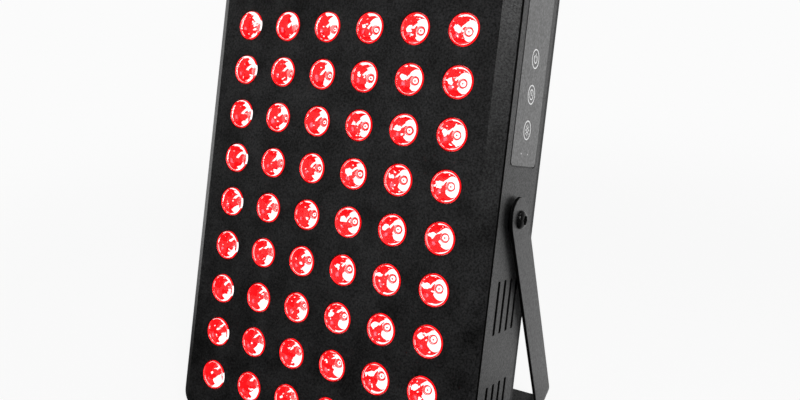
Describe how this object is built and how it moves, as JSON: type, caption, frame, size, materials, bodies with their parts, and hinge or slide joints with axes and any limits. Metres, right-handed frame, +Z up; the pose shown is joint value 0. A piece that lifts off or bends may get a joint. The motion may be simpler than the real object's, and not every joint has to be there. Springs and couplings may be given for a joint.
{
  "type": "red light therapy panel",
  "caption": "Table-top red light therapy panel: a lamp field in a shallow black sheet-metal case that leans back on a U-shaped strap bracket, with side touch strip, vents, rear fan, inlet and switch.",
  "frame": {"origin": "on the surface the panel stands on, under the middle of its bounding box", "axes": "+X to the right of someone who faces the lamps, +Y from the lamps to the back, +Z up"},
  "size_m": [0.221, 0.1372, 0.3188],
  "materials": {
    "case_paint": "fine-grained black powder coat",
    "bracket_paint": "fine-grained black powder coat",
    "lamp_lens": "clear moulded plastic, lit red from behind",
    "emitter": "small clear dome on a pale base",
    "lamp_board": "white solder mask",
    "standoff_brass": "turned",
    "sink_aluminium": "extruded, bare",
    "fan_plastic": "moulded black",
    "driver_case": "folded sheet",
    "touch_strip": "satin film with printed key marks",
    "circuit_board": "green solder mask",
    "socket_plastic": "moulded black",
    "contact_metal": "nickel plated",
    "rocker_plastic": "polished moulding",
    "zinc_steel": "zinc plated",
    "black_steel": "black oxide",
    "pad_rubber": "matt"
  },
  "bodies": {
    "panel": {"front_cover": "case_paint", "housing_shell": "case_paint", "rear_cover": "case_paint", "lens_column_1": "lamp_lens", "lens_column_2": "lamp_lens", "lens_column_3": "lamp_lens", "lens_column_4": "lamp_lens", "lens_column_5": "lamp_lens", "lens_column_6": "lamp_lens", "led_emitters": "emitter", "led_board": "lamp_board", "board_standoffs": "standoff_brass", "heat_sink": "sink_aluminium", "fan_frame": "fan_plastic", "led_driver": "driver_case", "touch_film": "touch_strip", "touch_board": "circuit_board", "inlet_socket": "socket_plastic", "inlet_pins": "contact_metal", "switch_body": "socket_plastic", "pivot_spacers": "socket_plastic", "pivot_nuts": "zinc_steel", "pivot_bolts": "black_steel"},
    "fan": {"fan_rotor": "fan_plastic"},
    "rocker": {"switch_rocker": "rocker_plastic"},
    "stand": {"stand_bracket": "bracket_paint", "stand_pads": "pad_rubber"}
  },
  "joints": [
    {"name": "bracket_tilt", "type": "hinge", "parent": "panel", "child": "stand", "pos_m": [0, -0.0024, 0.1601], "axis": [1, 0, 0], "continuous": true},
    {"name": "fan_spin", "type": "hinge", "parent": "panel", "child": "fan", "pos_m": [0, 0.0149, 0.09939], "axis": [0, 0.9724, -0.2334], "continuous": true},
    {"name": "power_rocker", "type": "hinge", "parent": "panel", "child": "rocker", "pos_m": [0.03, 0.00123, 0.03171], "axis": [1, 0, 0], "range_deg": [-18, 0]}
  ]
}
